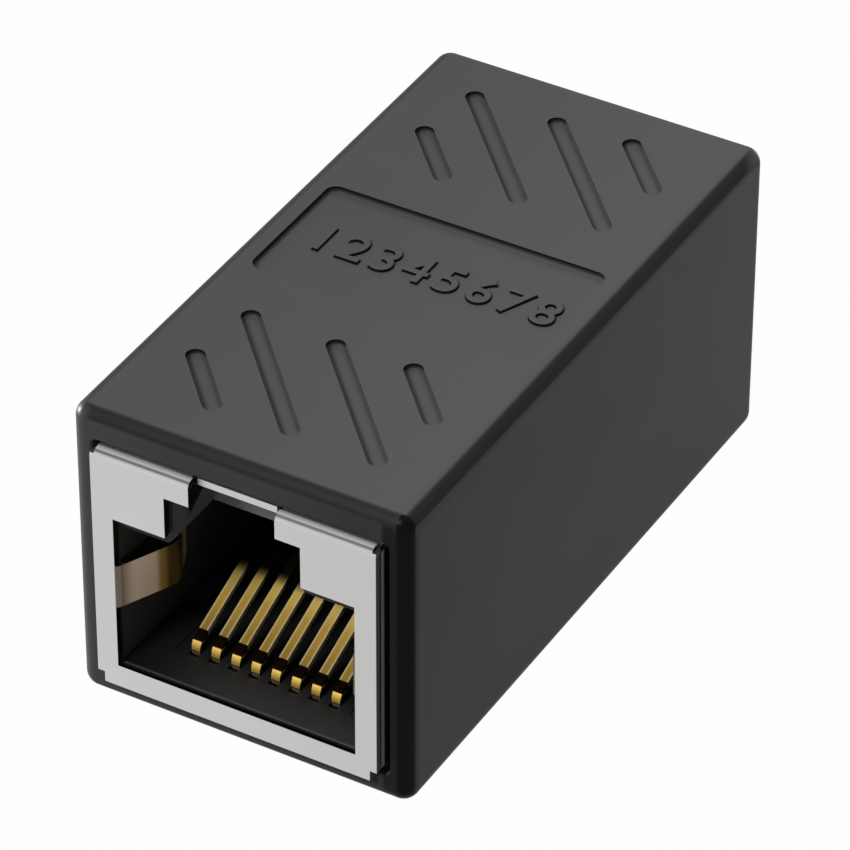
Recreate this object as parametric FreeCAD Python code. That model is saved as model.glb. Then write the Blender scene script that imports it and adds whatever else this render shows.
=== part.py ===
"""Shielded inline coupler for two eight-contact modular plugs, one jack at each end.

Millimetres. X is the width, Y the length, Z up. The origin is the middle of the underside. The two ends are
the same set of pieces, the far one turned half round about Z. The near port faces -Y, and its pieces are drawn
with a depth, measured from the front face of its shield towards the middle of the coupler.
"""
import FreeCAD, Part
import math
import os

V = FreeCAD.Vector

# Moulded case, wrapped round the two jacks
case_length = 32.2
case_floor = 1.40                # wall under the mouths
case_roof = 1.49
case_side = 1.05
case_edge_radius = 0.77
mouth_side_gap = 0.30            # from the case to the side walls of a shield
mouth_height_gap = 0.03          # from the case to the roof and the flanges of a shield
mouth_corner_radius = 0.35
mouth_lip_chamfer = 0.08

# Recess and grooves in the top of the case
recess_margin = 1.33             # from the recess to the sides of the case
recess_length = 7.25
recess_depth = 0.35
recess_corner_radius = 0.55
recess_floor_chamfer = 0.08
groove_width = 0.90
groove_depth = 0.35
groove_floor_chamfer = 0.10
groove_angle = 47.25             # from the X axis, falling towards +X
long_groove_run = 8.31           # between the centres of its two round ends
short_groove_run = 3.61
long_groove_x = 2.145            # middle of a groove from the middle of its group
short_groove_x = 4.32
short_groove_y = 1.89
groove_group_y = 9.87            # middle of a group from the middle of the case

# Port for the plug, in the plate of the shield
port_width = 12.00
port_sill = 1.09                 # height of the plate under the port
port_height = 8.09
step_width = 6.74                # the narrower part for the plug's latch
step_rise = 2.15
plate_head = 1.27                # height of the plate over the step
plate_side = 1.05
latch_notch_width = 4.26         # through the top of the plate, into the roof
latch_notch_cut_back = 0.53

# Stamped shield
sheet = 0.33
bend_inner_radius = 0.03
shield_stand_out = 0.56          # its front face from the end of the case
shield_to_board = 1.46
seam = 0.11                      # from the plate to the front edges of the side walls and of the roof's corners
plate_tab_inset = 0.34           # the plate's foot is narrower than the plate by this at each side
plate_tab_drop = 0.06
plate_notch_height = 0.48        # of the cut corners beside that foot, above the shield's underside
roof_flap_inset = 0.18           # the bent-over top of the plate ends this far from each side
corner_relief_drop = 0.20        # of the plate's top corners, below the roof
wall_relief_drop = 0.37          # of the side walls' front corners, below the roof
corner_relief_length = 1.00
flange_to_tongue = 0.25          # from the walls' inturned feet to the contact carrier

# Grounding leaf at each side of a port
leaf_height = 2.27
leaf_rise = 3.24                 # its lower edge above the floor of the port
leaf_angle = 25.5                # away from the side wall
leaf_fold_radius = 0.20
leaf_crest_reach = 1.31          # how far the crest stands out into the port
leaf_crest_radius = 1.00
leaf_tail = 2.00                 # length in depth behind the crest

# Lanced barb of a side wall, and its pocket in the case
barb_height = 2.00
barb_tip_depth = 7.00
barb_run = 2.20
barb_out = 0.48
barb_slit = 0.25
barb_pocket_room = 0.25

# Soldered tail of each side wall
tail_height = 1.40
tail_offset = 1.60               # above the middle of one side wall, below that of the other
tail_past_board = 0.30

# Jack housing
housing_clearance = 0.05
housing_to_board = 0.86
cavity_inset = 0.05              # its walls inside the edges of the port
cavity_height = 7.60
cavity_depth = 12.10             # plug stop, from the front of the shield
floor_lip_radius = 0.15
slot_inset = 0.21                # the latch slot's walls inside the edges of the step
slot_depth = 3.65
slot_rim_chamfer = 0.25
leaf_window_rise = 2.98          # its lower edge above the floor of the port
leaf_window_height = 2.37
leaf_window_end = 6.00
leaf_fold_room = 0.12            # round the fold, where the window is cut taller
leaf_fold_depth = 0.80

# Contact carrier
carrier_clearance = 0.05
carrier_to_board = 0.56
carrier_nose_room = 0.23         # in front of the contacts' bends
comb_length = 0.92               # where the slots are open to the port
tongue_margin = 0.624            # outside the outer contacts
tongue_gap = 0.07                # over the floor of the case
slot_floor = 0.46                # thickness under the contacts
block_margin = 0.80              # of the rear block, outside the tongue
block_slot_room = 0.60           # over the ends of the sprung runs
block_slot_roof = 0.50
block_end_room = 0.20            # behind those ends

# Contacts
contact_count = 8
contact_pitch = 1.016
contact_width = 0.44
contact_thickness = 0.30
contact_clearance = 0.03
contact_slope = 21.3             # of the sprung run, rising towards the middle
contact_nose_depth = 2.48        # foremost point of the front bend
contact_bend_radius = 0.513      # middle line of the front bend
contact_end_past_stop = 0.80     # the sprung run's end behind the plug stop
contact_leg_inset = 0.55         # the leg, from the back of the carrier
contact_leg_radius = 0.35
upper_row_rise = 3.62            # pins above the floor of the port
lower_row_rise = 1.08
pin_past_board = 0.35

# Circuit board
board_thickness = 1.20
board_clearance = 0.35           # from the board's edges to the case
board_corner_radius = 0.50
pin_hole_room = 0.09
tail_slot_clearance = 0.05

# Heights that follow from those sizes
shield_underside = case_floor + mouth_height_gap
port_floor = shield_underside + port_sill
port_shoulder = port_floor + port_height
step_top = port_shoulder + step_rise
shield_top = step_top + plate_head
mouth_top = shield_top + mouth_height_gap
case_height = mouth_top + case_roof
cavity_ceiling = port_floor + cavity_height
shield_middle = (shield_underside + shield_top) / 2
housing_top = shield_top - sheet - housing_clearance
housing_bottom = shield_underside + sheet + housing_clearance
tongue_underside = case_floor + tongue_gap
slot_low = tongue_underside + slot_floor
contact_low = slot_low + contact_clearance + contact_thickness / 2

# Widths
shield_width = port_width + 2 * plate_side
mouth_width = shield_width + 2 * mouth_side_gap
case_width = mouth_width + 2 * case_side
wall = shield_width / 2 - sheet          # inner face of a side wall
housing_width = 2 * (wall - housing_clearance)
cavity_width = port_width - 2 * cavity_inset
slot_width = step_width - 2 * slot_inset
tongue_width = (contact_count - 1) * contact_pitch + contact_width + 2 * tongue_margin
block_width = tongue_width + 2 * block_margin
contact_slot = contact_width + 2 * contact_clearance

# Depths from the front face of the shield
front = -(case_length / 2 + shield_stand_out)
board_front = -front - board_thickness / 2
shield_length = board_front - shield_to_board
housing_length = board_front - housing_to_board
housing_front = sheet + housing_clearance / 2
carrier_length = board_front - carrier_to_board
carrier_start = contact_nose_depth - carrier_nose_room
comb_end = carrier_start + comb_length
contact_end = cavity_depth + contact_end_past_stop
contact_leg = carrier_length - contact_leg_inset
bend_outer_radius = bend_inner_radius + sheet

# The sprung run of a contact, between its front bend and its end
slope = math.radians(contact_slope)
bend_centre = contact_nose_depth + contact_thickness / 2 + contact_bend_radius
run_start = bend_centre - contact_bend_radius * math.sin(slope)
run_start_height = contact_low + contact_bend_radius * (1 + math.cos(slope))
run_end_height = run_start_height + (contact_end - run_start) * math.tan(slope)
block_slot_top = run_end_height + block_slot_room
block_top = block_slot_top + block_slot_roof


def box(x0, x1, depth0, depth1, z0, z1):
    """A block between two widths, two depths and two heights."""
    return Part.makeBox(x1 - x0, depth1 - depth0, z1 - z0, V(x0, front + depth0, z0))


def wide_box(width, depth0, depth1, z0, z1):
    """A block centred on the width."""
    return box(-width / 2, width / 2, depth0, depth1, z0, z1)


def both_sides(shape):
    """The shape of the right-hand side and its mirror image."""
    return [shape, shape.mirror(V(0, 0, 0), V(1, 0, 0))]


def half_turn(shape):
    """The same piece at the far end of the coupler."""
    turned = shape.copy()
    turned.rotate(V(0, 0, 0), V(0, 0, 1), 180)
    return turned


def at_depth(depth):
    """Places (x, z) points on the upright plane at that depth."""
    return lambda x, z: V(x, front + depth, z)


def outline(corners, place):
    """A closed wire of straight lines with rounded corners; each corner is (a, b, radius)."""
    ends = []
    for i, (a, b, radius) in enumerate(corners):
        if radius <= 0:
            ends.append(((a, b), (a, b), None))
            continue
        before = corners[i - 1]
        after = corners[(i + 1) % len(corners)]
        back = math.hypot(before[0] - a, before[1] - b)
        ahead = math.hypot(after[0] - a, after[1] - b)
        to_before = ((before[0] - a) / back, (before[1] - b) / back)
        to_after = ((after[0] - a) / ahead, (after[1] - b) / ahead)
        inside = math.acos(to_before[0] * to_after[0] + to_before[1] * to_after[1])
        reach = radius / math.tan(inside / 2)
        start = (a + to_before[0] * reach, b + to_before[1] * reach)
        end = (a + to_after[0] * reach, b + to_after[1] * reach)
        middle = (to_before[0] + to_after[0], to_before[1] + to_after[1])
        share = (radius / math.sin(inside / 2) - radius) / math.hypot(*middle)
        ends.append((start, end, (a + middle[0] * share, b + middle[1] * share)))
    edges = []
    for i, (start, end, crown) in enumerate(ends):
        if crown:
            edges.append(Part.Arc(place(*start), place(*crown), place(*end)).toShape())
        begin = ends[(i + 1) % len(ends)][0]
        if math.dist(begin, end) > 1e-6:
            edges.append(Part.LineSegment(place(*end), place(*begin)).toShape())
    return Part.Wire(edges)


def slab(corners, place, way):
    """A plate with that outline, as thick as the vector way."""
    return Part.Face(outline(corners, place)).extrude(way)


def rectangle(a0, a1, b0, b1, radius=0):
    return [(a0, b0, radius), (a1, b0, radius), (a1, b1, radius), (a0, b1, radius)]


def strip(path, thickness):
    """The outline of a bent strip. The path is its middle line: (a, b, bend radius), open at both ends."""
    sides = []
    for side in (1, -1):
        off = side * thickness / 2
        lines = []
        for (a0, b0, _), (a1, b1, _) in zip(path, path[1:]):
            length = math.hypot(a1 - a0, b1 - b0)
            da, db = (a1 - a0) / length, (b1 - b0) / length
            lines.append((a0 - db * off, b0 + da * off, da, db, length))
        corners = [(lines[0][0], lines[0][1], 0)]
        for first, second, point in zip(lines, lines[1:], path[1:]):
            cross = first[2] * second[3] - first[3] * second[2]
            along = ((second[0] - first[0]) * second[3] - (second[1] - first[1]) * second[2]) / cross
            radius = point[2] - off if cross > 0 else point[2] + off
            corners.append((first[0] + first[2] * along, first[1] + first[3] * along, radius))
        last = lines[-1]
        corners.append((last[0] + last[2] * last[4], last[1] + last[3] * last[4], 0))
        sides.append(corners)
    return sides[0] + sides[1][::-1]


def contact_x(number):
    """Contact 1 lies to the right of someone who looks into the port with its latch slot up."""
    return ((contact_count - 1) / 2 - (number - 1)) * contact_pitch


def pin_row(number):
    """The height of a contact's pin: odd and even contacts end in two rows."""
    return port_floor + (upper_row_rise if number % 2 else lower_row_rise)


# The case: a sleeve, with one recess between two groups of slanting grooves in its top

def sunk(face, depth, floor_chamfer):
    """A flat-bottomed cutter for the top of the case, from the face at its floor."""
    cutter = face.extrude(V(0, 0, depth + case_edge_radius))
    floor_edges = [e for e in cutter.Edges if e.BoundBox.ZMax < case_height - depth + 1e-6]
    return cutter.makeChamfer(floor_chamfer, floor_edges)


def groove(middle_x, middle_y, run):
    half = groove_width / 2
    end = run / 2
    floor = case_height - groove_depth
    corners = [V(-end, -half, floor), V(end, -half, floor), V(end, half, floor), V(-end, half, floor)]
    sides = [Part.LineSegment(corners[0], corners[1]), Part.Arc(corners[1], V(end + half, 0, floor), corners[2]),
             Part.LineSegment(corners[2], corners[3]), Part.Arc(corners[3], V(-end - half, 0, floor), corners[0])]
    face = Part.Face(Part.Wire([side.toShape() for side in sides]))
    cutter = sunk(face, groove_depth, groove_floor_chamfer)
    cutter.rotate(V(0, 0, 0), V(0, 0, 1), -groove_angle)
    cutter.translate(V(middle_x, middle_y, 0))
    return cutter


def recess():
    half = case_width / 2 - recess_margin
    corners = rectangle(-half, half, -recess_length / 2, recess_length / 2, recess_corner_radius)
    face = Part.Face(outline(corners, lambda x, y: V(x, y, case_height - recess_depth)))
    return sunk(face, recess_depth, recess_floor_chamfer)


def barb_pocket():
    """The pocket in the right-hand wall of the near mouth that a barb springs into."""
    room = barb_pocket_room
    half = barb_height / 2 + room
    return box(shield_width / 2, shield_width / 2 + barb_out + room, barb_tip_depth - room,
               barb_tip_depth + barb_run + room, shield_middle - half, shield_middle + half)


def tube():
    """The rounded block with the opening right through it, and a small chamfer round both mouths."""
    end = case_length / 2
    half = mouth_width / 2
    body = Part.makeBox(case_width, case_length, case_height, V(-case_width / 2, -end, 0))
    body = body.makeFillet(case_edge_radius, body.Edges)
    opening = rectangle(-half, half, case_floor, mouth_top, mouth_corner_radius)
    body = body.cut(slab(opening, lambda x, z: V(x, -end, z), V(0, 2 * end, 0)))
    lips = [e for e in body.Edges if e.BoundBox.YLength < 1e-3 and abs(abs(e.CenterOfMass.y) - end) < 1e-3
            and abs(e.CenterOfMass.x) < half + 1e-3
            and case_floor - 1e-3 < e.CenterOfMass.z < mouth_top + 1e-3]
    return body.makeChamfer(mouth_lip_chamfer, lips)


def case_sleeve():
    body = tube()
    cutters = [recess()]
    for group in (-1, 1):
        middle = group * groove_group_y
        for side in (-1, 1):
            cutters.append(groove(side * long_groove_x, middle, long_groove_run))
            cutters.append(groove(side * short_groove_x, middle + side * short_groove_y, short_groove_run))
    for pocket in both_sides(barb_pocket()):
        cutters += [pocket, half_turn(pocket)]
    for cutter in cutters:
        body = body.cut(cutter)
    return body


# The shield of the near port: one folded sheet

def port_cutter():
    """The stepped opening for the plug and its latch, up through the top of the plate."""
    right = [(port_width / 2, port_floor), (port_width / 2, port_shoulder), (step_width / 2, port_shoulder),
             (step_width / 2, step_top), (latch_notch_width / 2, step_top), (latch_notch_width / 2, mouth_top)]
    corners = [(x, z, 0) for x, z in right] + [(-x, z, 0) for x, z in right[::-1]]
    return slab(corners, at_depth(-sheet), V(0, latch_notch_cut_back + sheet, 0))


def plate_and_roof():
    """The plate and the roof are one strip, bent along the top edge of the plate."""
    bend = bend_inner_radius + sheet / 2
    roof_line = shield_top - sheet / 2
    path = [(sheet / 2, shield_underside - plate_tab_drop, 0), (sheet / 2, roof_line, bend),
            (shield_length, roof_line, 0)]
    place = lambda depth, z: V(-shield_width / 2, front + depth, z)
    body = slab(strip(path, sheet), place, V(shield_width, 0, 0))
    edge = shield_width / 2
    over = edge + sheet
    behind_plate = sheet + seam
    under_roof = shield_top - 2 * sheet
    right_cuts = [
        box(edge - plate_tab_inset, over, -sheet, behind_plate, 0, shield_underside + plate_notch_height),
        box(edge - roof_flap_inset, over, -sheet, behind_plate, shield_top - corner_relief_drop, mouth_top),
        box(edge - roof_flap_inset, over, behind_plate, corner_relief_length, under_roof, mouth_top),
        box(edge - bend_outer_radius, over, corner_relief_length, shield_length + sheet, under_roof, mouth_top),
    ]
    for cut in right_cuts:
        for cutter in both_sides(cut):
            body = body.cut(cutter)
    return body


def side_wall():
    """The right-hand wall, with its bend to the roof above and its inturned foot below."""
    bend = bend_inner_radius + sheet / 2
    x = shield_width / 2 - sheet / 2
    path = [(shield_width / 2 - bend_outer_radius, shield_top - sheet / 2, 0), (x, shield_top - sheet / 2, bend),
            (x, shield_underside + sheet / 2, bend),
            (tongue_width / 2 + flange_to_tongue, shield_underside + sheet / 2, 0)]
    start = sheet + seam
    body = slab(strip(path, sheet), at_depth(start), V(0, shield_length - start, 0))
    upper = box(0, shield_width, 0, corner_relief_length, shield_top - wall_relief_drop, mouth_top)
    lower = box(0, shield_width, 0, corner_relief_length, 0, shield_underside + plate_notch_height)
    return body.cut(upper).cut(lower)


def barb():
    """A tongue lanced out of the right-hand wall, its free end towards the port."""
    x = shield_width / 2 - sheet / 2
    root = barb_tip_depth + barb_run
    path = [(x, root + sheet, 0), (x, root, sheet), (x + barb_out, barb_tip_depth, 0)]
    place = lambda a, depth: V(a, front + depth, shield_middle - barb_height / 2)
    return slab(strip(path, sheet), place, V(0, 0, barb_height))


def barb_window():
    half = barb_height / 2 + barb_slit
    return box(wall - sheet, shield_width, barb_tip_depth - barb_slit, barb_tip_depth + barb_run,
               shield_middle - half, shield_middle + half)


def tail(offset):
    """A soldering tail that runs on from the right-hand wall, through the edge of the board."""
    middle = shield_middle + offset
    return box(wall, wall + sheet, shield_length - sheet, board_front + board_thickness + tail_past_board,
               middle - tail_height / 2, middle + tail_height / 2)


def leaf():
    """The right-hand grounding leaf, folded in from the edge of the port and sprung back behind its crest."""
    lean = math.tan(math.radians(leaf_angle))
    edge = port_width / 2
    crest_x = edge - leaf_crest_reach
    crest_depth = sheet / 2 + leaf_crest_reach / lean
    path = [(edge + leaf_fold_radius, sheet / 2, 0), (edge, sheet / 2, leaf_fold_radius),
            (crest_x, crest_depth, leaf_crest_radius), (crest_x + leaf_tail * lean, crest_depth + leaf_tail, 0)]
    place = lambda x, depth: V(x, front + depth, port_floor + leaf_rise)
    return slab(strip(path, sheet), place, V(0, 0, leaf_height))


def shield():
    body = plate_and_roof().cut(port_cutter())
    right, left = both_sides(side_wall().cut(barb_window()).fuse(barb()))
    right_tail = both_sides(tail(tail_offset))[0]
    left_tail = both_sides(tail(-tail_offset))[1]
    return body.fuse([right, left, right_tail, left_tail] + both_sides(leaf())).removeSplitter()


# The housing of the near port

def cut_latch_slot(body):
    """The slot over the cavity that the latch rises into, with a chamfered rim at the ceiling."""
    body = body.cut(wide_box(slot_width, 0, slot_depth, port_floor, housing_top + sheet))
    rim = [e for e in body.Edges if abs(e.CenterOfMass.z - cavity_ceiling) < 1e-3 and e.BoundBox.ZLength < 1e-3
           and abs(e.CenterOfMass.x) < slot_width / 2 + 1e-3
           and front + housing_front + 1e-3 < e.CenterOfMass.y < front + slot_depth + 1e-3]
    return body.makeChamfer(slot_rim_chamfer, rim)


def leaf_windows():
    """Windows through the side walls for the grounding leaves, cut taller round their folds."""
    low = port_floor + leaf_window_rise
    fold_low = port_floor + leaf_rise - leaf_fold_room
    wide = housing_width + sheet
    return [wide_box(wide, 0, leaf_window_end, low, low + leaf_window_height),
            wide_box(wide, 0, leaf_fold_depth, fold_low, fold_low + leaf_height + 2 * leaf_fold_room)]


def carrier_room():
    """The way in for the contact carrier, along the floor and at the back of the housing."""
    tongue = tongue_width + 2 * carrier_clearance
    block = block_width + 2 * carrier_clearance
    beyond = housing_length + sheet
    return [wide_box(tongue, carrier_start - carrier_clearance, beyond, 0, port_floor + carrier_clearance),
            wide_box(block, cavity_depth - carrier_clearance, beyond, 0, block_top + carrier_clearance)]


def jack_housing():
    body = wide_box(housing_width, housing_front, housing_length, housing_bottom, housing_top)
    long_edges = [e for e in body.Edges if e.BoundBox.YLength > housing_length / 2]
    body = body.makeFillet(bend_outer_radius, long_edges)
    body = body.cut(wide_box(cavity_width, 0, cavity_depth, port_floor, cavity_ceiling))
    lip = [e for e in body.Edges if e.BoundBox.YMax < front + housing_front + 1e-3
           and abs(e.BoundBox.ZMin - port_floor) < 1e-3 and e.BoundBox.ZLength < 1e-3]
    body = cut_latch_slot(body.makeFillet(floor_lip_radius, lip))
    for cutter in leaf_windows() + carrier_room():
        body = body.cut(cutter)
    return body


# The carrier that holds the contacts of the near port

def contact_slots(number):
    """The slots for one contact: open at the comb, under the port's floor, at the end of its run, round its leg."""
    half = contact_slot / 2
    x = contact_x(number)
    reach = contact_thickness / 2 + contact_clearance
    inner_bend = contact_leg_radius - contact_thickness / 2
    run_top = contact_low + reach
    leg_front = contact_leg - reach
    beyond = carrier_length + sheet
    cuts = [(0, comb_end + sheet, port_floor + sheet), (comb_end, beyond, run_top),
            (cavity_depth - sheet, contact_end + block_end_room, block_slot_top),
            (leg_front - inner_bend, beyond, run_top + inner_bend), (leg_front, beyond, pin_row(number) + reach)]
    return [box(x - half, x + half, depth0, depth1, slot_low, top) for depth0, depth1, top in cuts]


def contact_carrier():
    tongue = wide_box(tongue_width, carrier_start, carrier_length, tongue_underside, port_floor)
    block = wide_box(block_width, cavity_depth, carrier_length, housing_bottom, block_top)
    body = tongue.fuse(block)
    for number in range(1, contact_count + 1):
        for cutter in contact_slots(number):
            body = body.cut(cutter)
    return body.removeSplitter()


# One contact of the near port: a wire with its sprung run, its front bend, its leg and its pin

def contact(number):
    row = pin_row(number)
    corner = run_start - (run_start_height - contact_low) / math.tan(slope)
    path = [(board_front + board_thickness + pin_past_board, row, 0), (contact_leg, row, contact_leg_radius),
            (contact_leg, contact_low, contact_leg_radius), (corner, contact_low, contact_bend_radius),
            (contact_end, run_end_height, 0)]
    x = contact_x(number) - contact_width / 2
    place = lambda depth, z: V(x, front + depth, z)
    return slab(strip(path, contact_thickness), place, V(contact_width, 0, 0))


# The board between the two jacks

def tail_notches():
    """The notches in the board's edges for the tails of both shields."""
    room = tail_slot_clearance
    notches = []
    for side, offset in ((0, tail_offset), (1, -tail_offset)):
        low = shield_middle + offset - tail_height / 2 - room
        notch = Part.makeBox(mouth_width, board_thickness * 2, tail_height + 2 * room,
                             V(wall - room, -board_thickness, low))
        notch = both_sides(notch)[side]
        notches += [notch, half_turn(notch)]
    return notches


def circuit_board():
    half = mouth_width / 2 - board_clearance
    corners = rectangle(-half, half, case_floor + board_clearance, mouth_top - board_clearance, board_corner_radius)
    body = slab(corners, lambda x, z: V(x, -board_thickness / 2, z), V(0, board_thickness, 0))
    hole = (math.hypot(contact_width, contact_thickness) + pin_hole_room) / 2
    for number in range(1, contact_count + 1):
        start = V(contact_x(number), -board_thickness, pin_row(number))
        drill = Part.makeCylinder(hole, 2 * board_thickness, start, V(0, 1, 0))
        body = body.cut(drill).cut(half_turn(drill))
    for notch in tail_notches():
        body = body.cut(notch)
    return body


def write(name, shape):
    shape.exportStep("parts/" + name + ".step")
    bounds = shape.BoundBox
    print(f"{name}: {len(shape.Solids)} solid, valid {shape.isValid()}, volume {shape.Volume:.2f} mm3, "
          f"x {bounds.XMin:.2f} {bounds.XMax:.2f}, y {bounds.YMin:.2f} {bounds.YMax:.2f}, "
          f"z {bounds.ZMin:.2f} {bounds.ZMax:.2f}")


def main():
    os.makedirs("parts", exist_ok=True)
    write("case_sleeve", case_sleeve())
    write("circuit_board", circuit_board())
    jack = {"shield": shield(), "jack_housing": jack_housing(), "contact_carrier": contact_carrier()}
    for number in range(1, contact_count + 1):
        jack[f"contact_{number}"] = contact(number)
    for name, shape in jack.items():
        write("front_" + name, shape)
        write("rear_" + name, half_turn(shape))


main()
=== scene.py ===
import bpy
import bmesh
import math
from mathutils import Matrix, Vector


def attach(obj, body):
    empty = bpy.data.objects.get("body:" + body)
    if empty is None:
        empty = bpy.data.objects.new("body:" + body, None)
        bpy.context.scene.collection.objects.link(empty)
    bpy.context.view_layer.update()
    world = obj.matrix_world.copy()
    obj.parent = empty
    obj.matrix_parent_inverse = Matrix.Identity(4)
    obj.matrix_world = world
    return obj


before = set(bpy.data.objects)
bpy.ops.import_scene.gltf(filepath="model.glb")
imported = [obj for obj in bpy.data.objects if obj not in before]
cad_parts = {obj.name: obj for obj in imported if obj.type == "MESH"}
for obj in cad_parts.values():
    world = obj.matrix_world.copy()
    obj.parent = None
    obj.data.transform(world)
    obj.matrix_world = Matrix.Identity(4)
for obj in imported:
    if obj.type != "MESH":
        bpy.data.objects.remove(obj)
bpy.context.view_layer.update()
print("frame loaded")

mm = 0.001


def span(*values):
    # millimetres to metres
    return tuple(value * mm for value in values)


def grey(level):
    return level, level, level


def toned(colour, factor):
    return tuple(level * factor for level in colour)


# Camera: the photograph's view

view = dict(place=span(101.04, -176.47, 160.76), turn=(52.922, -0.107, 29.903), lens=241.25, sensor=36,
            shift=(-0.0009, -0.0011), clip=(0.01, 10))


def makeCamera():
    data = bpy.data.cameras.new("camera")
    data.lens = view["lens"]
    data.sensor_width = view["sensor"]
    data.shift_x, data.shift_y = view["shift"]
    data.clip_start, data.clip_end = view["clip"]
    camera = bpy.data.objects.new("camera", data)
    camera.location = view["place"]
    camera.rotation_euler = [math.radians(angle) for angle in view["turn"]]
    bpy.context.collection.objects.link(camera)
    bpy.context.scene.camera = camera


makeCamera()
print("camera made")


# Shader helpers: Value is a node's output that Python's operators work on

class Value:
    def __init__(self, graph, socket):
        self.graph = graph
        self.socket = socket

    def __add__(self, other):
        return self.graph.maths("ADD", self, other)

    def __radd__(self, other):
        return self.graph.maths("ADD", other, self)

    def __sub__(self, other):
        return self.graph.maths("SUBTRACT", self, other)

    def __rsub__(self, other):
        return self.graph.maths("SUBTRACT", other, self)

    def __mul__(self, other):
        return self.graph.maths("MULTIPLY", self, other)

    def __rmul__(self, other):
        return self.graph.maths("MULTIPLY", other, self)

    def __abs__(self):
        return self.graph.maths("ABSOLUTE", self)


class Graph:
    def __init__(self, tree):
        self.tree = tree
        tree.nodes.clear()

    def node(self, kind, settings, inputs, output=0):
        made = self.tree.nodes.new(kind)
        for name, setting in settings.items():
            setattr(made, name, setting)
        for name, value in inputs.items():
            if isinstance(value, Value):
                self.tree.links.new(value.socket, made.inputs[name])
            else:
                made.inputs[name].default_value = value
        return Value(self, made.outputs[output])

    def maths(self, operation, *values):
        return self.node("ShaderNodeMath", {"operation": operation}, dict(enumerate(values)))

    def end(self, kind, shader):
        self.tree.links.new(shader.socket, self.tree.nodes.new(kind).inputs["Surface"])

    def background(self):
        # 1 for the rays that show the studio itself, straight or in a reflection
        seen = self.node("ShaderNodeLightPath", {}, {}, "Is Camera Ray")
        for ray in ("Is Glossy Ray", "Is Transmission Ray"):
            seen = self.maths("MAXIMUM", seen, self.node("ShaderNodeLightPath", {}, {}, ray))
        return seen


class Paint(Graph):
    def __init__(self, name):
        self.material = bpy.data.materials.new(name)
        self.material.use_nodes = True
        super().__init__(self.material.node_tree)
        self.place = self.node("ShaderNodeTexCoord", {}, {}, "Object")

    def axis(self, name):
        return self.node("ShaderNodeSeparateXYZ", {}, {0: self.place}, name)

    def stretched(self, x, y, z):
        return self.node("ShaderNodeVectorMath", {"operation": "MULTIPLY"}, {0: self.place, 1: (x, y, z)})

    def noise(self, scale, detail=2, place=None):
        inputs = {"Vector": place or self.place, "Scale": scale, "Detail": detail}
        return self.node("ShaderNodeTexNoise", {}, inputs, "Fac")

    def wrapped(self, value, half):
        # repeats from -half to half
        return self.maths("WRAP", value, half, -half)

    def rise(self, value, low, high):
        # from 0 at low to 1 at high
        inputs = {"Value": value, "From Min": low, "From Max": high}
        return self.node("ShaderNodeMapRange", {"interpolation_type": "SMOOTHSTEP"}, inputs)

    def fall(self, value, low, high):
        # from 1 at low to 0 at high
        return 1 - self.rise(value, low, high)

    def within(self, value, low, high, soft):
        # 1 between low and high, with soft sides
        return self.rise(value, low - soft, low) * self.fall(value, high, high + soft)

    def either(self, first, second):
        # the two shares together, never over 1
        return first + second * (1 - first)

    def blend(self, share, first, second):
        inputs = {0: share, 6: (*first, 1) if isinstance(first, tuple) else first,
                  7: (*second, 1) if isinstance(second, tuple) else second}
        return self.node("ShaderNodeMix", {"data_type": "RGBA"}, inputs, 2)

    def bump(self, height, distance, strength):
        return self.node("ShaderNodeBump", {}, {"Height": height, "Distance": distance, "Strength": strength})

    def surface(self, shader):
        self.end("ShaderNodeOutputMaterial", shader)
        return self.material

    def principled(self, size, colour, roughness, height, more):
        normal = self.bump(height, size["bumpHeight"], size["bumpStrength"])
        inputs = {"Base Color": colour, "Roughness": roughness, "Normal": normal,
                  "Specular IOR Level": size["gloss"], **more}
        return self.surface(self.node("ShaderNodeBsdfPrincipled", {}, inputs))


# Moulded case

casePlastic = dict(
    half=span(8.4, 16.1), height=15.55 * mm, edgeRadius=0.77 * mm,
    colour=(0.072, 0.072, 0.073), cloudTone=1.08, rightLightTone=1.22, sideLightTones=(0.85, 1.55), shadeTone=0.04,
    roughness=0.42, cloudRoughness=0.08, edgeRoughness=0.36, rubbedRoughness=0.36, gloss=0.04,
    cloudScale=260, grainScale=5200, bumpHeight=0.004 * mm, bumpStrength=0.7, smoothed=0.7,
    # flat faces: where their painted light and shade start, inside the outline
    faceDepth=span(0.02, 0.01), endFaceDepth=span(0.12, 0.01),
    # rounded edges: where their painted shade starts, in radii inside the outline, and how dark that painted
    # shade is on each kind
    edgeBand=(0.82, 0.54), uprightBand=(1.00, 0.80), leftBand=(0.75, 1.02),
    uprightEdgeShade=0.99, sideEdgeShade=0.80, leftEdgeShade=0.45, endEdgeShade=0.76,
    # shares of the way along a face, from one corner to the next
    uprightTurn=(0.5, 0.7), rubbedTurn=(0.93, 0.975), endStripTurn=(0.030, 0.076, 0.012),
    endShade=0.29, endShades=((0.18, 0.05, 0.35), (0.17, 0.50, 0.90)), endStrip=0.26,
    # recess and numbers, with painted shade on their walls
    topX=span(7.4, 7.5), recessY=span(3.9, 4.0), numbersX=span(6.5, 6.6), numbersY=span(1.4, 1.6),
    wallZ=span(15.215, 15.535), wallSoft=0.01 * mm, wallFadeZ=span(15.245, 15.505), wallShades=(0.26, 0.70),
    numberTop=15.33 * mm, numberLift=1.0 * mm,
    # grooves, which take painted shade and shadows: the far end of each, along its own direction, and its
    # middle line across that
    grooveTurn=47.25, groupY=9.87 * mm, groupReach=span(4.2, 15.3, 0.1), grooveHalf=0.44 * mm, soft=0.02 * mm,
    grooves=(span(-5.61, -1.57), span(-3.35, -4.45), span(-2.70, 1.57), span(-0.26, 4.45)),
    tip=span(-0.55, -0.50), farEnd=span(-0.10, 0.10), footAside=span(0.30, 0.34), footZ=span(15.23, 15.27),
    shadowAside=span(-0.42, 0.06), shadowZ=span(15.3, 15.4), grooveShade=0.34)


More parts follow.
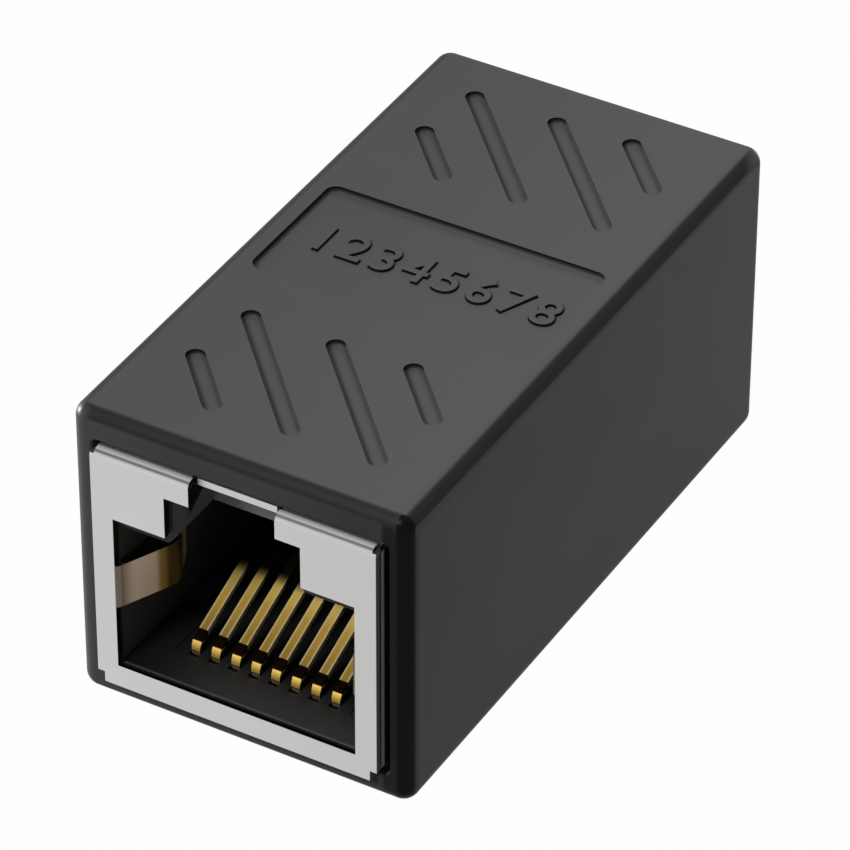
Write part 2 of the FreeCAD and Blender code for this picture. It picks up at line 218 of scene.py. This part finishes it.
def caseEdges(paint, turn):
    # 1 on the rounded edges, which are polished and take a painted shade, and on the two corners that are
    # rubbed glossy
    size = casePlastic
    radius = size["edgeRadius"]
    x, halfX = paint.axis("X"), size["half"][0]
    places = (abs(x), abs(paint.axis("Y")), abs(paint.axis("Z") - size["height"] / 2))
    limits = (*size["half"], size["height"] / 2)
    nearX, nearY, nearZ = [paint.rise(place, *[limit - radius * share for share in size["edgeBand"]])
                           for place, limit in zip(places, limits)]
    upright = paint.rise(abs(x), *[halfX - radius * share for share in size["uprightBand"]])
    upright = upright * nearY * paint.fall(turn, *size["uprightTurn"])
    left = paint.fall(x, *[radius * share - halfX for share in size["leftBand"]])
    edgeShade = upright * size["uprightEdgeShade"] + nearX * nearZ * size["sideEdgeShade"] + nearY * nearZ * size["endEdgeShade"]
    edgeShade = edgeShade + left * (1 - nearX) * nearZ * size["leftEdgeShade"]
    rubbed = paint.rise(turn, *size["rubbedTurn"])
    return edgeShade * (1 - rubbed), nearX * nearY * nearZ * rubbed


def caseEndShade(paint, turn):
    # painted shade: the end faces darken towards one corner, with a painted shadow strip beside its edge
    size = casePlastic
    shade = size["endShade"]
    for share, start, end in size["endShades"]:
        shade = shade + share * paint.rise(1 - turn, start, end)
    shade = shade + size["endStrip"] * paint.within(turn, *size["endStripTurn"])
    outer, inner = size["endFaceDepth"]
    halfY = size["half"][1]
    return shade * paint.rise(abs(paint.axis("Y")), halfY - outer, halfY - inner)


def caseWalls(paint):
    # the upright walls of the recess and the numbers, and how dark their painted shade is
    size = casePlastic
    x, y, z = abs(paint.axis("X")), abs(paint.axis("Y")), paint.axis("Z")
    low, high = size["wallZ"]
    numbers = paint.fall(x, *size["numbersX"]) * paint.fall(y, *size["numbersY"])
    walls = paint.fall(x, *size["topX"]) * paint.fall(y, *size["recessY"])
    walls = walls * paint.rise(z, low, low + size["wallSoft"])
    walls = walls * paint.fall(z + numbers * (high - size["numberTop"]), high - size["wallSoft"], high)
    least, more = size["wallShades"]
    return walls, least + more * paint.rise(z + numbers * size["numberLift"], *size["wallFadeZ"])


def caseGrooves(paint):
    # painted shade on the far ends of the grooves, and in each a painted dark line at the foot of one wall
    # and the painted shadow of the other
    size = casePlastic
    x, y, z = paint.axis("X"), paint.axis("Y"), paint.axis("Z")
    low, high = size["wallZ"]
    half, angle = size["grooveHalf"], math.radians(size["grooveTurn"])
    fromGroup = paint.wrapped(y - size["groupY"], size["groupY"])
    along = x * math.cos(angle) - fromGroup * math.sin(angle)
    across = x * math.sin(angle) + fromGroup * math.cos(angle)
    inGroup = paint.within(abs(y), *size["groupReach"])
    ends = grooveShadows = 0
    for end, middle in size["grooves"]:
        past, aside = along - end, across - middle
        groove = paint.within(aside, -half, half, size["soft"]) * paint.rise(past, *size["tip"]) * inGroup
        foot = paint.rise(aside, *size["footAside"]) * paint.within(z, *size["footZ"], size["soft"])
        shadow = paint.fall(aside, *size["shadowAside"]) * paint.fall(z, *size["shadowZ"])
        ends = ends + groove * paint.fall(past, *size["farEnd"])
        grooveShadows = grooveShadows + groove * (foot + shadow)
    ends = ends * paint.rise(z, low, low + size["soft"]) * paint.fall(z, high - size["wallSoft"], high)
    return ends, grooveShadows * paint.fall(abs(x), *size["topX"])


def paintCase():
    paint = Paint("case_plastic")
    size = casePlastic
    # the near black of all the painted shade on the case
    base, shadeColour = size["colour"], toned(size["colour"], size["shadeTone"])
    halfX, halfY = size["half"]
    x = paint.axis("X")
    # 0 to 1 along an end face and along a side, alike at both ends
    turn = x * paint.axis("Y") * (0.5 / (halfX * halfY)) + 0.5
    cloud = paint.noise(size["cloudScale"], 3)
    grain = paint.noise(size["grainScale"], 2)
    colour = paint.blend(cloud, base, toned(base, size["cloudTone"]))
    # painted light: the case lighter towards the +x side
    colour = paint.blend(paint.rise(x, -halfX, halfX), colour, toned(base, size["rightLightTone"]))
    # painted light and shade on the sides, changing along them
    side = paint.rise(abs(x), *[halfX - depth for depth in size["faceDepth"]])
    colour = paint.blend(side, colour, paint.blend(turn, *[toned(base, tone) for tone in size["sideLightTones"]]))
    # painted shade on the end faces
    colour = paint.blend(caseEndShade(paint, turn), colour, shadeColour)
    # painted shade on the rounded edges
    edgeShade, rubbed = caseEdges(paint, turn)
    colour = paint.blend(edgeShade, colour, shadeColour)
    # painted shade on the upright walls, the grooves' far ends among them
    walls, wallShade = caseWalls(paint)
    ends, grooveShadows = caseGrooves(paint)
    walls = walls + ends
    colour = paint.blend(walls * wallShade, colour, shadeColour)
    # painted dark lines and shadows in the grooves
    colour = paint.blend(grooveShadows * (1 - walls) * size["grooveShade"], colour, shadeColour)
    roughness = size["roughness"] + size["cloudRoughness"] * (cloud - 0.5)
    roughness = roughness + edgeShade * (size["edgeRoughness"] - size["roughness"])
    height = grain * (1 - size["smoothed"] * edgeShade)
    coat = {"Coat Weight": rubbed, "Coat Roughness": size["rubbedRoughness"]}
    return paint.principled(size, colour, roughness, height, coat)


# Black plastics in the mouths, lit in front and on one side of the floor. A depth is measured from the front
# of the shield, and every finish is alike at both ends.

mouth = dict(front=16.66 * mm, lit=grey(0.036), unlit=grey(0.006), lightDepth=span(0.6, 3.6),
             lightWidth=5.2 * mm)


def mouthLight(paint):
    x, y = paint.axis("X"), paint.axis("Y")
    aside = paint.fall(x * y, 0, mouth["lightWidth"] * mouth["front"])
    return paint.fall(mouth["front"] - abs(y), *mouth["lightDepth"]) * aside


housingPlastic = dict(
    colour=grey(0.044), cloudTone=1.25, roughness=0.44, flowRoughness=0.10, gloss=0.20,
    cloudScale=320, flowScale=900, flowStretch=(1, 0.08, 1), grainScale=7000, bumpHeight=0.003 * mm,
    bumpStrength=0.6,
    rimColour=grey(0.12), rimX=span(3.15, 3.42, 0.01), rimZ=span(10.12, 10.38, 0.01),
    slotLightColour=grey(0.150), slotZ=span(10.20, 10.28),
    floorZ=span(2.6, 2.7), lipDepth=span(0.40, 0.50), lipShadeTone=0.6,
    shadowBlack=grey(0.003), frontDepth=span(0.37, 0.40), roofDepth=span(1.5, 1.8), roofZ=span(9.75, 9.95),
    roofSlope=0.6)


def paintHousing():
    paint = Paint("housing_plastic")
    size = housingPlastic
    cloud = paint.noise(size["cloudScale"], 3)
    grain = paint.noise(size["grainScale"], 2)
    flow = paint.noise(size["flowScale"], 2, paint.stretched(*size["flowStretch"]))
    x, z = abs(paint.axis("X")), paint.axis("Z")
    depth = mouth["front"] - abs(paint.axis("Y"))
    # a lighter rim round the latch slot, and painted light on the slot walls above it
    colour = paint.blend(cloud, size["colour"], toned(size["colour"], size["cloudTone"]))
    rim = paint.within(x, *size["rimX"]) * paint.within(z, *size["rimZ"])
    colour = paint.blend(rim, colour, size["rimColour"])
    colour = paint.blend(paint.rise(z, *size["slotZ"]), colour, size["slotLightColour"])
    # the floor in painted light, with a painted shade on the lip at the front
    floor = paint.fall(z, *size["floorZ"])
    lip = paint.rise(depth, *size["lipDepth"]) * (1 - size["lipShadeTone"]) + size["lipShadeTone"]
    colour = paint.blend(floor, colour, mouth["unlit"])
    colour = paint.blend(floor * mouthLight(paint) * lip, colour, mouth["lit"])
    # painted shadow on the rim behind the shield and on the far part of the roof
    front = paint.fall(depth, *size["frontDepth"])
    roof = paint.rise(z - depth * size["roofSlope"], *size["roofZ"]) * paint.rise(depth, *size["roofDepth"])
    colour = paint.blend((front + roof) * (1 - floor), colour, size["shadowBlack"])
    roughness = size["roughness"] + size["flowRoughness"] * (flow - 0.5)
    return paint.principled(size, colour, roughness, grain, {})


carrierPlastic = dict(fibreTone=1.06, roughness=0.48, fibreRoughness=0.12, gloss=0.20, fibreScale=3200,
                      fibreStretch=(1, 0.12, 1), grainScale=7600, bumpHeight=0.003 * mm, bumpStrength=0.6)


def paintCarrier():
    paint = Paint("carrier_plastic")
    size = carrierPlastic
    fibre = paint.noise(size["fibreScale"], 2, paint.stretched(*size["fibreStretch"]))
    grain = paint.noise(size["grainScale"], 2)
    colour = paint.blend(fibre, mouth["lit"], toned(mouth["lit"], size["fibreTone"]))
    colour = paint.blend(mouthLight(paint), mouth["unlit"], colour)
    roughness = size["roughness"] + size["fibreRoughness"] * (fibre - 0.5)
    return paint.principled(size, colour, roughness, grain, {})


# Tinned sheet

tinPlate = dict(
    front=16.66 * mm, colour=(0.61, 0.61, 0.60), dullAndShade=(0.53, 0.53, 0.525), shadeX=span(-7.2, 4.0),
    shadeShare=0.9, cloudScale=420, cloudShare=0.7, streakScale=5200, streakStretch=(0.04, 1, 1),
    pitScale=9000, streakBump=0.6, bumpHeight=0.002 * mm, bumpStrength=0.6, gloss=0.5,
    roughness=0.36, cloudRoughness=0.14, streakRoughness=0.10, caseRoughness=0.3,
    leafMatt=0.45, bendMatt=0.80, edgeMatt=0.85,
    # sheared edges, between the two faces of the plate: painted shade inside the port, painted light on the
    # low edge
    shearedShade=grey(0.012), shearedDepth=span(0.03, 0.32, 0.02), outerEdge=grey(0.12), outerX=span(6.6, 6.7),
    plateZ=span(13.66, 13.70), lowEdge=grey(0.20), lowEdgeDepth=span(0.14, 0.30), lowEdgeZ=span(2.9, 3.0),
    # grounding leaves, painted in light and shade from their folds to their crests
    portX=span(5.98, 6.02), leafZ=span(5.78, 8.01, 0.01), leafFold=(0.12, 0.09, 0.06),
    leafLightShades=((span(5.42, 5.90), (0.82, 0.64, 0.48)), (span(4.90, 5.06), (0.32, 0.21, 0.05)),
               (span(4.72, 4.88), (0.06, 0.04, 0.008))),
    leafRim=(0.020, 0.012, 0.006), leafRimZ=span(5.75, 8.04, 0.01), leafRimDepth=span(0.33, 0.43),
    # bend over the top of the plate, a darker line painted along it, and its cut ends in painted shade
    bendColour=grey(0.41), bendZ=span(13.78, 13.86), bendDepth=span(0.36, 0.42),
    roofZ=span(14.018, 14.026), roofDepth=span(0.38, 0.50),
    lineColour=grey(0.07), lineZ=span(13.92, 13.96, 0.05),
    notchX=span(2.122, 2.138, 0.004), cutZ=span(13.58, 13.78), behindNotchX=span(1.98, 2.20, 0.05),
    behindNotchDepth=span(0.48, 0.58, 0.03), flapX=span(6.85, 6.86), flapZ=span(13.82, 13.835),
    # side walls, as far as the case, with painted shade inside it
    caseGapShade=grey(0.020), wallDepth=span(0.42, 0.44), caseDepth=span(0.66, 0.72), wallBand=grey(0.46),
    bandX=span(7.03, 7.045))


def leafMasks(paint, x, z):
    # beside the port, at the leaves' height, on the leaves' faces, and on their upper and lower edges
    size = tinPlate
    outside = paint.rise(x, *size["outerX"])
    onLeaf = paint.within(z, *size["leafZ"]) * (1 - outside)
    inPort = paint.fall(x, *size["portX"])
    return outside, onLeaf, onLeaf * inPort, paint.within(z, *size["leafRimZ"]) * (1 - onLeaf) * inPort


def cutEnds(paint, x, z, depth):
    # the ends of the bend at the notch and at the corner reliefs, and a painted shadow behind the notch; all
    # take painted shade
    size = tinPlate
    ends = paint.within(x, *size["notchX"]) * paint.rise(z, *size["cutZ"])
    flap = paint.rise(x, *size["flapX"]) * paint.rise(z, *size["flapZ"])
    behind = paint.within(x, *size["behindNotchX"]) * paint.within(depth, *size["behindNotchDepth"])
    ends = ends + flap * paint.fall(depth, *size["bendDepth"])
    return paint.either(ends, behind * paint.rise(z, *size["cutZ"]))


def paintShield():
    paint = Paint("tinned_sheet")
    size = tinPlate
    streaks = paint.noise(size["streakScale"], 3, paint.stretched(*size["streakStretch"]))
    cloud = paint.noise(size["cloudScale"], 3)
    pits = paint.noise(size["pitScale"], 2)
    x, z = abs(paint.axis("X")), paint.axis("Z")
    depth = size["front"] - abs(paint.axis("Y"))
    worn = cloud * size["cloudShare"] + streaks * (1 - size["cloudShare"])
    colour = paint.blend(worn, size["colour"], size["dullAndShade"])
    # painted shade: the plate darker towards one side
    aside = paint.fall(paint.axis("X") * paint.axis("Y"), *[limit * size["front"] for limit in size["shadeX"]])
    colour = paint.blend(aside * size["shadeShare"], colour, size["dullAndShade"])
    # sheared edges of the plate: painted shade on those inside the port, a matt grey on the outer ones, and
    # painted light on the low edge, which lies in shadow
    outside, onLeaf, leafFace, leafRim = leafMasks(paint, x, z)
    plate = paint.fall(z, *size["plateZ"])
    shearedShade = paint.within(depth, *size["shearedDepth"])
    outerEdge = shearedShade * plate * outside
    lowEdge = shearedShade * paint.rise(depth, *size["lowEdgeDepth"]) * paint.fall(z, *size["lowEdgeZ"])
    colour = paint.blend(outerEdge, colour, size["outerEdge"])
    colour = paint.blend(shearedShade * plate * (1 - outside) * (1 - onLeaf), colour, size["shearedShade"])
    colour = paint.blend(lowEdge * (1 - outside), colour, size["lowEdge"])
    # leaves, in painted light and shade: a dark fold, a warm painted light on the face, painted shade
    # browning and darkening it towards the end, and painted shade on the upper and lower edges
    colour = paint.blend(leafFace, colour, size["leafFold"])
    for limits, tone in size["leafLightShades"]:
        colour = paint.blend(leafFace * paint.fall(x, *limits), colour, tone)
    colour = paint.blend(leafRim * paint.rise(depth, *size["leafRimDepth"]), colour, size["leafRim"])
    # the bend and the roof's front edge, a darker line painted along the bend, and the cut ends in painted
    # shade
    fold = paint.rise(z, *size["bendZ"]) * paint.fall(depth, *size["bendDepth"])
    roof = paint.rise(z, *size["roofZ"]) * paint.fall(depth, *size["roofDepth"])
    bend = paint.either(fold, roof)
    ends = cutEnds(paint, x, z, depth)
    colour = paint.blend(bend, colour, size["bendColour"])
    colour = paint.blend(fold * paint.within(z, *size["lineZ"]), colour, size["lineColour"])
    colour = paint.blend(ends, colour, size["shearedShade"])
    # walls rougher and in painted shade inside the case, with scuffed front rims
    inCase = paint.rise(depth, *size["caseDepth"]) * outside
    wall = paint.rise(depth, *size["wallDepth"]) * outside * plate
    band = wall * (1 - inCase) * paint.rise(x, *size["bandX"])
    colour = paint.blend(wall, colour, size["caseGapShade"])
    colour = paint.blend(band, colour, size["wallBand"])
    matt = leafFace * size["leafMatt"] + bend * (1 - ends) * size["bendMatt"]
    matt = matt + (outerEdge + band) * (1 - bend) * size["edgeMatt"]
    roughness = size["roughness"] + size["cloudRoughness"] * (cloud - 0.5)
    roughness = roughness + size["streakRoughness"] * (streaks - 0.5) + size["caseRoughness"] * inCase
    height = streaks * size["streakBump"] + pits * (1 - size["streakBump"])
    return paint.principled(size, colour, roughness, height, {"Metallic": 1 - matt})


# Gold plated wires, tinned at the board

goldWire = dict(
    front=16.66 * mm, pitch=1.016 * mm, gold=(0.86, 0.55, 0.08), worn=(0.68, 0.41, 0.06), cloudScale=1500,
    cloudShare=0.4, streakScale=16000, streakStretch=(1, 0.03, 1), bumpHeight=0.002 * mm, bumpStrength=0.5,
    metal=0.55, gloss=0.20, roughness=0.36, streakRoughness=0.16, tinRoughness=0.12, darkRoughness=0.5,
    combDepth=span(3.2, 5.0), combShare=0.45, side=(0.10, 0.06, 0.02), sideX=span(0.206, 0.214),
    runTop=2.109 * mm, runSlope=0.3899, sideBelow=span(0.26, 0.29),
    bright=(1.00, 0.71, 0.15), brightDepth=span(5.0, 5.8),
    nose=(0.60, 0.40, 0.09), noseDepth=span(2.70, 2.76), noseShare=0.8, underNose=(0.26, 0.20, 0.13),
    underNoseZ=span(2.53, 2.55), corner=(0.95, 0.84, 0.55), cornerX=span(0.11, 0.18), cornerShare=0.6,
    dark=(0.008, 0.004, 0.002), lineZ=span(2.55, 2.59, 0.02), neckDepth=span(2.66, 3.14, 0.05),
    neckZ=span(3.00, 3.04), legDepth=span(2.9, 3.0), legZ=span(2.45, 2.55), farDepth=span(6.05, 6.80),
    farShare=0.97, tin=(0.50, 0.50, 0.48), tinY=span(6.1, 6.9))


def paintContacts():
    paint = Paint("gold_over_wire")
    size = goldWire
    y, z = abs(paint.axis("Y")), paint.axis("Z")
    depth = size["front"] - y
    across = abs(paint.wrapped(paint.axis("X") - size["pitch"] / 2, size["pitch"] / 2))
    streaks = paint.noise(size["streakScale"], 3, paint.stretched(*size["streakStretch"]))
    cloud = paint.noise(size["cloudScale"], 3)
    worn = streaks * (1 - size["cloudShare"]) + cloud * size["cloudShare"]
    colour = paint.blend(worn, size["gold"], size["worn"])
    # painted shade towards the comb, and painted light further in, where a plug's contacts press
    colour = paint.blend(paint.fall(depth, *size["combDepth"]) * size["combShare"], colour, size["side"])
    colour = paint.blend(paint.rise(depth, *size["brightDepth"]), colour, size["bright"])
    # foremost bends, with painted highlights on the corners behind them and painted shade below the noses
    nose = paint.fall(depth, *size["noseDepth"])
    corner = paint.rise(across, *size["cornerX"]) * (1 - nose)
    colour = paint.blend(nose * size["noseShare"], colour, size["nose"])
    colour = paint.blend(corner * size["cornerShare"], colour, size["corner"])
    colour = paint.blend(paint.fall(z, *size["underNoseZ"]), colour, size["underNose"])
    # painted shade: a dark line at the floor, the neck in the comb and the leg behind it
    neck = paint.within(depth, *size["neckDepth"]) * paint.rise(z, *size["neckZ"])
    leg = paint.rise(depth, *size["legDepth"]) * paint.fall(z, *size["legZ"])
    dark = paint.either(paint.either(paint.within(z, *size["lineZ"]), neck), leg)
    colour = paint.blend(dark, colour, size["dark"])
    # painted shade on the sides of the sprung runs, left unshaded along their tops
    below = size["runTop"] - (z - depth * size["runSlope"])
    side = paint.rise(across, *size["sideX"]) * paint.rise(below, *size["sideBelow"])
    colour = paint.blend(side * (1 - dark), colour, size["side"])
    # painted shadow deeper in, where the runs are out of the light
    far = paint.rise(depth, *size["farDepth"])
    colour = paint.blend(far * size["farShare"], colour, size["dark"])
    tinned = paint.fall(y, *size["tinY"])
    colour = paint.blend(tinned, colour, size["tin"])
    matt = (1 - size["metal"]) * (1 - dark) * (1 - side) * (1 - far)
    roughness = size["roughness"] + size["streakRoughness"] * (streaks - 0.5)
    roughness = roughness + size["tinRoughness"] * tinned + size["darkRoughness"] * dark
    return paint.principled(size, colour, roughness, streaks, {"Metallic": 1 - matt})


# Board

boardMask = dict(colour=(0.010, 0.085, 0.040), weave=(0.016, 0.120, 0.055), core=(0.42, 0.36, 0.20),
                 weaveScale=2600, weaveStretch=0.05, coreY=span(0.54, 0.58), gloss=0.5, roughness=0.30,
                 coreRoughness=0.3, weaveRoughness=0.08, bumpHeight=0.004 * mm, bumpStrength=0.5)


def paintBoard():
    paint = Paint("board_laminate")
    size = boardMask
    across = paint.noise(size["weaveScale"], 1, paint.stretched(1, 1, size["weaveStretch"]))
    up = paint.noise(size["weaveScale"], 1, paint.stretched(size["weaveStretch"], 1, 1))
    weave = across * 0.5 + up * 0.5
    core = paint.fall(abs(paint.axis("Y")), *size["coreY"])
    colour = paint.blend(core, paint.blend(weave, size["colour"], size["weave"]), size["core"])
    roughness = size["roughness"] + size["coreRoughness"] * core + size["weaveRoughness"] * (weave - 0.5)
    return paint.principled(size, colour, roughness, weave, {})


finishes = {
    "case": paintCase(),
    "housing": paintHousing(),
    "carrier": paintCarrier(),
    "shield": paintShield(),
    "contacts": paintContacts(),
    "board": paintBoard(),
}
print("materials made")


# CAD nodes and their finishes

def finishOf(node):
    if node == "case_sleeve":
        return "case"
    if node == "circuit_board":
        return "board"
    for word in ("shield", "housing", "carrier"):
        if node.endswith(word):
            return word
    return "contacts"


for node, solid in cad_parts.items():
    for place in solid.material_slots:
        place.material = finishes[finishOf(node)]
print("CAD nodes painted")


# Way numbers, raised in the recess

digits = dict(count=8, height=1.80 * mm, capShare=0.69, first=-5.35 * mm, step=1.60 * mm, floor=15.20 * mm,
              rise=0.16 * mm, sink=0.02 * mm, bevel=0.03 * mm, bevelSteps=1, curveSteps=6, bolder=0.02 * mm,
              foot=0.03 * mm, footWider=0.06 * mm)


def makeNumber(number, low, high, wider, bevel):
    curve = bpy.data.curves.new(f"way_{number}", "FONT")
    curve.body = str(number)
    curve.align_x = "CENTER"
    curve.align_y = "CENTER"
    curve.size = digits["height"] / digits["capShare"]
    curve.extrude = (high - low) / 2 - bevel
    curve.bevel_depth = bevel
    curve.bevel_resolution = digits["bevelSteps"]
    curve.offset = wider - bevel
    curve.resolution_u = digits["curveSteps"]
    text = bpy.data.objects.new(f"way_{number}", curve)
    bpy.context.collection.objects.link(text)
    bpy.context.view_layer.update()
    mesh = bpy.data.meshes.new_from_object(text)
    bpy.data.objects.remove(text)
    mesh.transform(Matrix.Translation((digits["first"] + (number - 1) * digits["step"], 0, (low + high) / 2)))
    return mesh


def makeDigits():
    size = digits
    low = size["floor"] - size["sink"]
    for number in range(1, size["count"] + 1):
        # the number and the fillet at its foot, in one mesh; the fillet's top takes the case's painted wall
        # shade, a painted dark outline round the number
        shape = bmesh.new()
        shape.from_mesh(makeNumber(number, low, size["floor"] + size["rise"], size["bolder"], size["bevel"]))
        shape.from_mesh(makeNumber(number, low, size["floor"] + size["foot"], size["footWider"], 0))
        mesh = bpy.data.meshes.new(f"way_number_{number}")
        shape.to_mesh(mesh)
        shape.free()
        mesh.materials.append(finishes["case"])
        piece = bpy.data.objects.new(f"way_number_{number}", mesh)
        bpy.context.collection.objects.link(piece)
        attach(piece, "root")


makeDigits()
print("numbers made")


# Studio: pale floor, white surroundings, soft lamps

studio = dict(floorHalf=3.0, floorColour=0.30, floorGlow=0.985, surround=1.0, fill=0.16)
lamps = dict(
    top=dict(toward=(0.10, 0.35, 0.93), distance=0.50, width=0.36, level=0.38),
    side=dict(toward=(-0.97, -0.10, 0.04), distance=0.50, width=0.08, level=0.90),
    key=dict(toward=(-0.12, -0.70, 0.70), distance=1.50, width=0.34, level=0.76),
)


def makeFloor():
    mesh = bpy.data.meshes.new("floor")
    shape = bmesh.new()
    bmesh.ops.create_grid(shape, x_segments=1, y_segments=1, size=studio["floorHalf"])
    shape.to_mesh(mesh)
    shape.free()
    paint = Paint("floor_white")
    plain = paint.node("ShaderNodeBsdfDiffuse", {}, {"Color": (*grey(studio["floorColour"]), 1)})
    glow = paint.node("ShaderNodeEmission", {}, {"Color": (1, 1, 1, 1), "Strength": 1.0})
    share = paint.background() * studio["floorGlow"]
    mesh.materials.append(paint.surface(paint.node("ShaderNodeMixShader", {}, {0: share, 1: plain, 2: glow})))
    floor = bpy.data.objects.new("floor", mesh)
    bpy.context.collection.objects.link(floor)


def makeSurround():
    world = bpy.data.worlds.new("studio")
    bpy.context.scene.world = world
    world.use_nodes = True
    graph = Graph(world.node_tree)
    limits = {"Value": graph.background(), "To Min": studio["fill"], "To Max": studio["surround"]}
    level = graph.node("ShaderNodeMapRange", {}, limits)
    light = graph.node("ShaderNodeBackground", {}, {"Color": (1, 1, 1, 1), "Strength": level})
    graph.end("ShaderNodeOutputWorld", light)


def makeLamp(name, toward, distance, width, level):
    data = bpy.data.lights.new(name, "AREA")
    data.shape = "SQUARE"
    data.size = width
    data.energy = level * math.pi ** 2 * distance ** 2
    lamp = bpy.data.objects.new(name, data)
    lamp.location = Vector(toward).normalized() * distance
    lamp.rotation_euler = Vector(toward).to_track_quat("Z", "Y").to_euler()
    bpy.context.collection.objects.link(lamp)


makeFloor()
makeSurround()
for name, size in lamps.items():
    makeLamp(name, **size)
bpy.context.scene.view_settings.view_transform = "Standard"
print("studio made")
